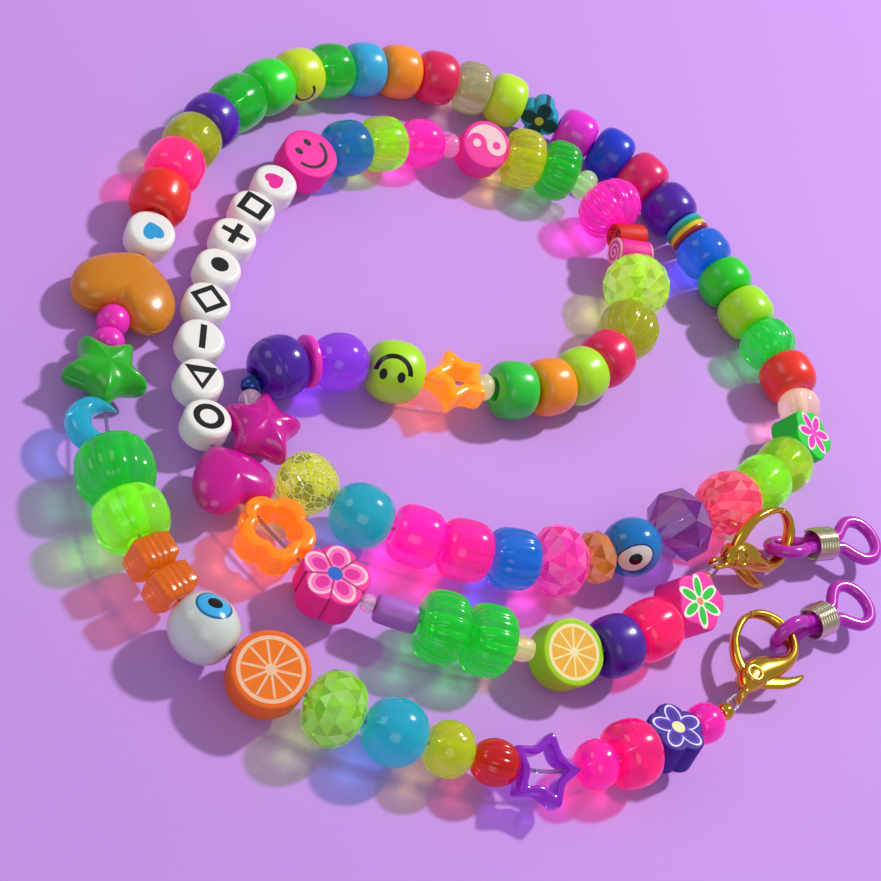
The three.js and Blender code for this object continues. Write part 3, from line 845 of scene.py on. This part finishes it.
def swirl(pale):
    """A pale spiral on the ends of a cane that lies across the cord."""
    def layers(p):
        r = (p.x * p.x + p.z * p.z).sqrt()
        turn = (r / 0.85 + p.z.op("ARCTAN2", p.x) / TAU).op("FRACT")
        return [((turn > 0.5) & ((p.y + 0.3).abs() > 2.6), pale)]
    return layers


def bands(rows):
    """Stripes round a bead, from each X onwards."""
    def layers(p):
        return [(p.x > edge, hexa) for edge, hexa in rows]
    return layers


def cane_end(p):
    """Dark cells over the ends of a cane that lies across the cord."""
    cells = noise(p, 1500, 0, "ShaderNodeTexVoronoi")
    return [((cells < 0.42) & ((p.y - 0.2).abs() > 2.5), "46060a")]


# ---- the beads in order
def coin(layers, length=6.45):
    """A white coin bead with a printed mark: its shape and material."""
    outline = np.array(circle(64)) * (length / 2)
    return slab(outline, COIN_THICKNESS, COIN_EDGE), plastic("f6f2f0", layers, 0.3, "coin")


def slice_of(base, layers, length, thickness, outline=None):
    """A slice of a clay cane, round unless an outline is given: its shape and material."""
    if outline is None:
        outline = np.array(circle(64)) * (length / 2)
    return slab(outline, thickness, 0.35), clay(base, layers)


def petals(length, sharp, depth=0.08):
    """A five-petalled outline."""
    return petal_outline(length, 5, depth, sharp)


def cut_glass(base, body):
    return clear(base, body, 0.03, "cut")


def solid(pitch, base):
    """A row for an opaque pony bead."""
    return pitch, pony(round(pitch - GAP, 1)), plastic(base)


def tinted(pitch, base, body):
    """A row for a clear pony bead."""
    return pitch, pony(round(pitch - GAP, 1)), clear(base, body)


# For each CAD node from end B to end A, a row for each of its beads: the length it takes up on the cord, its
# shape, its material (or a function of its frame, for marks placed as the camera sees them), and its roll.
STRAND = [
    ("clay_flower_block", [
        (8.4, *slice_of("fb32aa", blossom(6, 1.98, 0.8, "f4f4e6", "28c83c", "f08c6e", 0.55, 0.5), 8.1, 5.4,
                        petals(8.1, 1.4)), -20)]),
    ("pony_run_lemon", [
        tinted(7.0, "f51478", 0.5),
        solid(6.2, "4a18a0"),
        (9.4, *slice_of("aadc14", citrus("fff0b4", "faba3c", 4.4), 9.0, 4.6), -20)]),
    ("spacer_near_b", [(3.4, ball(3.1, 3.4, 0.85), clear("f0e6b4", 0.3))]),
    ("fluted_run_green", [
        (6.4, ribbed(6.3, 9.6, 16, 0.09), clear("10d840")),
        (6.4, ribbed(6.3, 9.6, 16, 0.09), clear("10d840"))]),
    ("tube_bead", [
        (5.8, barrel(5.7, 3.9, 0.9, 6, 32), plastic("b464d2", None, 0.4)),
        (1.8, ball(1.7, 2.4, 0.6), clear("f0e0f0", 0.15))]),
    ("clay_flower_pink", [
        (9.2, *slice_of(
            "ff28a0", blossom(5, 2.28, 1.62, "ffc3d2", "ff6ebe", "1460c8", 1.0, 0.62, "e6149b", "b4146e"),
            8.9, 4.8, petals(8.9, 0.7)), 0)]),
    ("flower_window_bead", [
        (10.2, window(petals(9.9, 0.7, 0.12), petals(6.0, 0.7, 0.12), 4.4), clear("fa9614", 0.55))]),
    ("heart_magenta", [
        (9.6, slab(heart_outline(9.3, 11.4, 0.6), 5.4, dome=1.25), plastic("d2059b", None, 0.2))]),
    ("letter_coin_run", [
        (6.75, *coin(mark(kind))) for kind in ("ring", "triangle", "bar", "diamond", "dot", "plus", "square")
    ] + [(6.75, *coin(heart_mark(1.25, "f01ea0", 60)))]),
    ("clay_smiley_pink", [
        (9.4, *slice_of("ff1ea5", smile(0.5, 1.15, 1.5, 2.6, 0.27, 14, 0.05, 0.3), 8.4, 4.6), 8)]),
    ("pony_run_blue_lime", [
        tinted(6.4, "0a82c3", 0.35), tinted(6.4, "b4f01e", 0.3),
        (7.2, ball(7.0, 7.6, 1.0), clear("ff28c8", 0.35)),
        (2.6, ball(2.5, 3.8, 0.7), clear("ffa0dc", 0.3))]),
    ("yinyang_and_fluted_run", [
        (7.8, *slice_of("ff32a5", yin(3.2, "ff32a5", "ffd2dc"), 7.8, 4.8), 22),
        (6.0, ribbed(5.9, 9.4, 14, 0.07), clear("cdd216", 0.35)),
        (6.0, ribbed(5.9, 9.4, 14, 0.07), clear("14c832", 0.38)),
        (3.5, ball(3.3, 4.8, 0.7), clear("bee6aa", 0.42, 0.15))]),
    ("pumpkin_magenta", [(8.0, ribbed(7.7, 10.3, 14, 0.1, 1.0, 2.1), clear("f51ec8", 0.5))]),
    ("cane_and_swirl_discs", [
        (3.6, across(2.0, 2.9, -2.5), clay("dc1e14", cane_end)),
        (3.4, across(2.25, 2.6, -3.2), clay("f0289b", swirl("ffb4c8")))]),
    ("gem_lime_pair", [
        (9.5, gem(9.2, 10.4, 14, CHECKER), cut_glass("c8f514", 0.45)),
        (8.8, ribbed(8.5, 9.2, 14, 0.07, 0.9, 2.05), clear("afb40a", 0.45))]),
    ("pony_run_crimson_orange", [
        solid(6.4, "f0145a"), solid(6.2, "b4f028"),
        solid(6.2, "ff9a14"), solid(6.2, "28d23c"),
        (2.8, ball(2.6, 3.8, 0.7), clear("e6e6be", 0.42, 0.15))]),
    ("star_window_bead", [(8.0, window(star_outline(7.8), star_outline(7.8, 0.44), 4.0),
                           clear("ffaa14", 0.6))]),
    ("smiley_bead_lime", [
        (8.2, ball(7.9, 8.8, 0.9, None, 2.4),
         lambda at: plastic("b4f01e", on_ball(
             at, 0.0, 0.05, 168, smile(0.55, 1.25, 0.9, 2.4, 0.34, 0, 0.05, 0.6)), 0.3, "smiling"))]),
    ("ball_purple", [(8.0, lined(7.7, 8.2), clear("9b3ce1", 0.5))]),
    ("corner_run", [
        (1.4, barrel(1.35, 7.4, 0.9, 5, 36), plastic("fa32c8")),
        (7.6, ball(7.5, 8.8, 1.0, 1.4, 2.3), plastic("4b14a5", None, 0.2)),
        (2.6, ball(2.5, 3.0, 0.6), metal("3a50a0", 0.12, "ab")),
        (2.8, ball(2.7, 3.2, 0.6), clear("f5dceb", 0.1))]),
    ("star_magenta", [
        (9.0, slab(star_outline(9.6, 1, 6), 5.4, dome=0.6, crease=0.05), plastic("d2059b", None, 0.2))]),
    ("ball_crackle", [(8.0, ball(7.7, 8.0, 1.0), clear("dce11e", 0.5, 0.06, "crackle"))]),
    ("ball_teal", [(8.6, lined(8.3, 8.6, 2), clear("14aabe", 0.62))]),
    ("pony_run_magenta_blue", [
        (6.8, pony(6.7, 8.2), clear("ff1ec8", 0.38)), tinted(6.8, "ff1eb4", 0.38),
        (6.8, ribbed(6.7, 8.4, 14, 0.05), clear("0a82dc", 0.38))]),
    ("gem_pair_pink_amber", [
        (7.0, gem(6.8, 10.0, 12, two_sided((-0.46, 0.6), (-0.22, 0.95), (0, 1))),
         cut_glass("ff28be", 0.4)),
        (4.6, gem(4.4, 7.6, 10, two_sided((-0.44, 0.6), (-0.18, 0.95)), 0.8),
         cut_glass("d27800", 0.55))]),
    ("evil_eye_ball", [
        (8.0, ball(7.8, 8.2), lambda at: plastic("0f78c8", on_ball(at, 0.05, -0.36, 22, ovals(
            (2.6, 1.95, "082878"), (2.4, 1.75, "e6dcdc"), (0.95, 0.8, INK))), 0.14, "blue_eye"))]),
    ("gem_purple", [
        (10.8, gem(10.5, 10.4, 8, two_sided((-0.4, 0.45), (-0.12, 0.98))),
         cut_glass("8200a0", 0.42))]),
    ("gem_peach", [
        (10.2, gem(9.9, 9.4, 16, CHECKER), cut_glass("ff3c78", 0.5))]),
    ("pony_run_clay_green", [
        tinted(6.4, "a0f01e", 0.35), tinted(6.0, "bee628", 0.3),
        (8.0, *slice_of("1ed23c", blossom(6, 1.85, 0.85, "f5d2eb", "e628b4", "f03cc8", 0.7, 0.55), 7.8, 5.2,
                        petals(7.8, 1.4)), 20)]),
    ("pony_run_right", [
        (5.0, ball(4.8, 6.4, 1.0), clear("f5d7c8", 0.38)), solid(6.4, "fa3223"),
        (6.4, ribbed(6.3, 8.6, 10, 0.08, 1.5, 2.3), clear("1edc50", 0.38)), solid(6.4, "aaf01e"),
        solid(5.8, "23d728"), tinted(6.0, "0a78dc", 0.38),
        (3.0, barrel(2.9, 6.6, 1.0, 7),
         plastic("b42814", bands(((-0.8, "e6d21e"), (-0.1, "1ea05a"), (0.6, "1eaad2"))), 0.3, "banded")),
        solid(6.8, "5014aa"), solid(6.6, "e6146e"), solid(6.4, "1432d2")]),
    ("pearl_and_pony_run_top", [
        (6.6, ball(6.4, 7.6, 1.3, None, 2.6), plastic("f028dc", None, 0.2)),
        (6.2, *slice_of("149bc3", blossom(4, 1.75, 1.25, "149bc3", "083c46", "c8c83c", 0.7, 0.75), 6.2, 4.6,
                        petal_outline(6.2, 4, 0.13, 0.6)), -72),
        solid(6.0, "c8f528"), (5.8, ribbed(5.7, 8.4, 12, 0.06), clear("b4af82", 0.42)),
        solid(6.4, "e6145a"), solid(6.4, "ff961e"),
        solid(5.8, "32afe6"), tinted(6.0, "1ec832", 0.35),
        (6.2, pony(6.1), lambda at: plastic("d2eb14", on_ball(at, 0.3, -0.7, 35, smile(
            0.4, 8, 8, 1.5, 0.22, 0, -0.2)), 0.3, "curved")),
        solid(6.6, "28e628"), tinted(7.2, "14c832", 0.35), solid(5.6, "5014b4"),
        tinted(6.0, "b4be0a", 0.42), tinted(6.4, "ff2896", 0.48),
        solid(6.8, "fa281e"), (7.0, *coin(heart_mark(1.3, "28a0dc", -60), 6.8))]),
    ("heart_amber", [
        (11.0, slab(heart_outline(10.7, 14.6, 0.74) * (-1, 1), 6.0, dome=0.75),
         plastic("d7820c", None, 0.28))]),
    ("ball_magenta_upper", [(4.2, ball(4.0, 4.4, 0.6), plastic("fa28c8"))]),
    ("ball_and_star_green", [
        (3.8, ball(3.7, 4.4, 0.6), plastic("fa28c8")),
        (9.4, slab(star_outline(9.9, 1, 4), 5.4, dome=0.5, crease=0.1), plastic("1eb41e"))]),
    ("moon_teal", [(6.4, crescent(7.3), clear("14aac8", 0.6))]),
    ("fluted_run_and_amber_blocks", [
        (8.0, ribbed(7.9, 10.2, 14, 0.06), clear("0ac83c", 0.42)),
        (6.8, ribbed(6.7, 9.6, 10, 0.05), clear("96f51e", 0.35)),
        (4.5, cube(4.3, 5.4), clear("d26900", 0.6, 0.04)), (4.5, cube(4.3, 5.4), clear("d26900", 0.6, 0.04))]),
    ("eyeball_ball", [
        (8.8, ball(8.5, 8.6), lambda at: plastic("d7e1dc", on_ball(at, 0.38, 0.76, -20, ovals(
            (2.35, 2.2, "1e6eaa"), (2.05, 1.9, "3cb4f0"), (0.95, 0.85, INK))), 0.18, "white_eye"))]),
    ("orange_slice", [(10.2, *slice_of("fa6e19", citrus("ffcdaa", "ff7d19", 5.0), 9.9, 4.8), 16)]),
    ("gem_green", [(7.8, gem(7.5, 9.8, 14, CHECKER), cut_glass("96dc0a", 0.5))]),
    ("ball_run_teal_yellow", [
        (8.2, ball(8.0, 8.6), clear("14aac3", 0.62)),
        (6.2, ribbed(6.0, 7.2, 14, 0.07, 0.9, 2.1, 0.25), clear("bec80f", 0.5))]),
    ("ball_red", [(6.2, ribbed(6.0, 6.0, 12, 0.07, 0.6, 2.1), clear("c80a00", 0.55))]),
    ("star_frame_purple", [
        (8.6, window(star_outline(8.4, 1, 4), star_outline(8.4, 0.64, 4), 3.2), clear("9119be", 0.55), 15)]),
    ("pony_run_near_a", [
        (5.2, ribbed(5.0, 6.6, 6, 0.06, 0.8, 2.1, 0.9), clear("fa1eb9", 0.45)),
        (6.0, pony(5.9, 9.0), clear("f5148c", 0.48))]),
    ("clay_flower_purple", [
        (8.0, *slice_of("3c1496", blossom(5, 1.88, 1.12, "e6e1ff", "5a28be", "f0f0aa", 0.9, 0.68, "3c1496"),
                        7.7, 5.0, petals(7.7, 0.7, 0.1)), -10)]),
    ("ball_swirl_pink", [(5.0, ribbed(4.8, 5.6, 6, 0.07, 0.7, 2.1, 1.1), clear("f01eb9", 0.5))]),
]


distance = FIRST_BEAD
where, pitches = {}, {}
for node, beads in STRAND:
    for n, bead in enumerate(beads):
        pitch, shape, material = bead[:3]
        roll = bead[3] if len(bead) > 3 else 0
        middle = distance + pitch / 2
        where.setdefault(node, middle)
        pitches.setdefault(node, pitch)
        name = node if len(beads) == 1 else f"{node}_{n + 1}"
        at = frame_at(middle, roll)
        if callable(material):
            material = material(at)
        piece("bead_" + name, shape, at, material, node)
        distance += pitch

# ---- cord, crimps, clasps and loops
cord_material = clear("a096aa", 0.12, 0.15, "cord")
CORD_BODIES = ["end_strand_b", "main_strand", "top_arc", "left_arc", "bottom_arc", "end_strand_a"]
PIVOT_BEADS = ["spacer_near_b", "pearl_and_pony_run_top", "ball_magenta_upper", "eyeball_ball", "ball_red"]


def cord_piece(name, start, stop, body):
    count = max(8, int((stop - start) / 0.6))
    path = [tuple(point_at(start + (stop - start) * k / count)) + (CORD_RADIUS,) * 2 for k in range(count + 1)]
    piece(f"cord_{name}", sweep(path, 10), Matrix.Identity(4), cord_material, "elastic_cord", body)


# The cord bends where it leaves a pivot bead, on the side of the neighbour that turns.
begin = away[0]
for before, after, bead in zip(CORD_BODIES, CORD_BODIES[1:], PIVOT_BEADS):
    middle, half = where[bead], pitches[bead] / 2
    if nodes[bead]["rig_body"] == after:
        face = middle - half
        zone, ends = (face - BEND_REACH, face + BEND_INSET), (face - BEND_REACH, middle)
    else:
        face = middle + half
        zone, ends = (face - BEND_INSET, face + BEND_REACH), (middle, face + BEND_REACH)
    cord_piece(before, begin, ends[0], before)
    cord_piece(f"bend_{bead}", *ends, (before, after, metres(zone[0]), metres(zone[1])))
    begin = ends[1]
cord_piece(CORD_BODIES[-1], begin, away[-1], CORD_BODIES[-1])

GOLD = metal("f0be46", 0.13, "gold")
COIL_WIRE = metal("e6dcc0", 0.16, "coil")
STEEL = metal("b4b4b4", 0.25, "steel")
SILICONE = silicone("be14be")


def axes(origin, x, z):
    x, z = Vector(x).normalized(), Vector(z).normalized()
    return placed(x, z.cross(x), z, origin)


def tail_ring(radius, wire, x):
    """A ring square to Y, its middle at x."""
    rows = [(x + radius * c, 0, radius * s, wire, wire) for c, s in circle(40)]
    return sweep(rows, 14, True, 2, (0, 1, 0))


def forged(path, sides, power):
    """A tube that lies in the XY plane, along a smooth curve through (x, y, half width, half thickness)."""
    rows = curve([(x, y, 0, width, height) for x, y, width, height in path])
    return sweep(rows, sides, False, power, (0, 0, 1))


# The clasp's parts, about its rivet, with the tail ring towards -X and the nose towards +X.
CLAW_PATH = [
    (-2.3, 0.0, 0.75, 0.95), (-1.6, -0.02, 1.3, 1.25), (0.0, -0.1, 1.95, 1.45), (2.2, -0.9, 1.95, 1.45),
    (4.4, -2.6, 1.45, 1.35), (6.6, -3.75, 0.95, 1.1), (8.8, -3.7, 0.75, 0.98), (10.7, -2.3, 0.7, 0.95),
    (11.5, 0.0, 0.7, 0.9), (11.2, 1.9, 0.64, 0.85), (10.3, 3.25, 0.55, 0.75), (9.75, 3.7, 0.48, 0.62)]
GATE_PATH = [
    (-1.0, 0.1, 0.6, 0.5), (0.2, 1.3, 0.85, 0.75), (1.6, 2.8, 0.75, 0.8), (3.9, 4.1, 0.6, 0.75),
    (6.4, 4.45, 0.55, 0.72), (8.3, 4.3, 0.52, 0.68), (9.2, 4.0, 0.42, 0.55)]
THUMB_PATH = [
    (-0.6, -0.4, 0.8, 0.36), (0.9, -2.1, 1.0, 0.38), (2.6, -4.3, 0.9, 0.42), (4.1, -5.7, 0.62, 0.5),
    (5.6, -6.45, 0.26, 0.4)]
SPRING_PATH = [
    (-1.3, -0.7, 0.1, 0.4), (0.2, -1.2, 0.1, 0.4), (1.8, -1.0, 0.1, 0.4), (2.9, -0.2, 0.1, 0.4),
    (3.0, 0.7, 0.1, 0.35)]
# Half of the temple loop, along its length from the clasp's end: (x, y).
LOOP_HALF = [
    (-8.9, 0), (-8.2, 1.55), (-6.5, 2.3), (-4.7, 1.95), (-3.2, 1.2), (-1.9, 0.95), (0, 0.95), (1.9, 0.95),
    (3.4, 0.96), (4.9, 2.25), (6.3, 3.15), (8.2, 2.95), (9.4, 1.6), (9.75, 0)]


def tube_z(outer, inner, half, rim):
    """A short hollow rivet about Z with a raised rolled rim at each end."""
    profile = [(inner, half), (inner + 0.12, half + 0.12), (outer - 0.2, half + 0.12), (outer, half - 0.1),
               (outer, half - rim), (outer - 0.35, half - rim - 0.1)]
    full = profile + [(r, -z) for r, z in reversed(profile)]
    rows = [[(r * c, r * s, z) for c, s in circle(32)] for r, z in full]
    return grid(rows)


for side, twist in (("b", -40), ("a", 75)):
    hang, lever = joints[f"hang_clasp_{side}"], joints[f"lever_{side}"]
    swing, slide = joints[f"swing_loop_{side}"], joints[f"slide_coil_{side}"]
    tail, rivet = Vector(hang["pos_m"]), Vector(lever["pos_m"])
    clasp = axes(rivet, rivet - tail, lever["axis"])
    for name, shape, material, node in (
            ("clasp_claw", forged(CLAW_PATH, 24, 2.3), GOLD, "clasp_body"),
            ("clasp_ring", tail_ring(1.15, 0.42, -3.4), GOLD, "clasp_body"),
            ("rivet", tube_z(1.45, 0.75, 1.6, 0.35), GOLD, "clasp_rivet"),
            ("clasp_gate", forged(GATE_PATH, 20, 2.6), GOLD, "clasp_lever"),
            ("clasp_thumb", forged(THUMB_PATH, 20, 2.6), GOLD, "clasp_lever"),
            ("leaf_spring", forged(SPRING_PATH, 8, 3), STEEL, "clasp_spring")):
        piece(f"{name}_{side}", shape, clasp, material, f"{node}_{side}")

    out = Vector(slide["axis"])
    loop = axes(Vector(swing["pos_m"]) + out * 6.4 * MM, out, (0, 0, 1))
    outline = LOOP_HALF + [(x, -y) for x, y in LOOP_HALF[-2:0:-1]]
    path = []
    for x, y in outline:
        turn = math.radians(twist) * min(max((1.9 - x) / 3.8, 0), 1)
        path.append((x, y * math.cos(turn), y * math.sin(turn), TUBE_RADIUS, TUBE_RADIUS))
    piece(f"silicone_loop_{side}", sweep(curve(path, True), 20, True), loop, SILICONE, f"temple_loop_{side}")
    coil = []
    for k in range(COIL_TURNS * 20 + 1):
        t = TAU * k / 20
        coil.append((-COIL_LENGTH / 2 + COIL_LENGTH * k / (COIL_TURNS * 20), COIL_RADIUS * math.cos(t),
                     COIL_RADIUS * math.sin(t), COIL_WIRE_RADIUS, COIL_WIRE_RADIUS))
    piece(f"wire_coil_{side}", sweep(coil, 10), loop, COIL_WIRE, f"loop_coil_{side}")

    at = away[0] if side == "b" else away[-1]
    piece(f"crimp_{side}", ball(2.0, 2.4, 0.5), frame_at(at), GOLD, f"crimp_bead_{side}")
    knot = metres(at)
    eye = axes((knot + tail) / 2, tail - knot, lever["axis"])
    reach = (tail - knot).length / MM / 2
    rows = [(reach * c, 0.75 * s, 0, 0.22, 0.22) for c, s in circle(32)]
    piece(f"cord_eye_{side}", sweep(rows, 10, True, 2, (0, 0, 1)), eye, cord_material, "elastic_cord",
          f"end_strand_{side}")

# ---- floor, light and camera
floor_mesh = bpy.data.meshes.new("floor")
floor_mesh.from_pydata(
    [(x * FLOOR_HALF, y * FLOOR_HALF, 0) for x, y in ((-1, -1), (1, -1), (1, 1), (-1, 1))], [], [(0, 1, 2, 3)])
floor = bpy.data.objects.new("floor", floor_mesh)
bpy.context.scene.collection.objects.link(floor)
material, shader, place = coloured("floor_paper", "c792ea", None, 0.01)
shader.inputs["Roughness"].default_value = 0.7
floor_mesh.materials.append(material)

scene = bpy.context.scene
world = bpy.data.worlds.new("studio")
world.use_nodes = True
set_inputs(world.node_tree.nodes["Background"], {"Color": (1, 1, 1, 1), "Strength": 0.32})
scene.world = world


def lamp(name, azimuth, elevation, reach, size, power):
    """A square soft light aimed at the strap; azimuth is from +X towards +Y."""
    data = bpy.data.lights.new(name, "AREA")
    data.size, data.energy = size, power
    obj = bpy.data.objects.new(name, data)
    a, e = math.radians(azimuth), math.radians(elevation)
    back = Vector((math.cos(a) * math.cos(e), math.sin(a) * math.cos(e), math.sin(e)))
    obj.location = AIM + back * reach
    obj.rotation_euler = back.to_track_quat("Z", "Y").to_euler()
    scene.collection.objects.link(obj)


lamp("key", 30, 48, 0.9, 0.055, 6.2)
lamp("fill", 250, 40, 1.0, 0.5, 1.1)
lamp("side", 160, 35, 1.0, 0.4, 0.8)

camera_data = bpy.data.cameras.new("camera")
camera_data.lens, camera_data.sensor_width = LENS, 36
camera_data.clip_start, camera_data.clip_end = 0.01, 10
camera = bpy.data.objects.new("camera", camera_data)
camera.matrix_world = placed(RIGHT, UP, -FORWARD, AIM - FORWARD * REACH)
scene.collection.objects.link(camera)
scene.camera = camera
scene.view_settings.view_transform = "Standard"
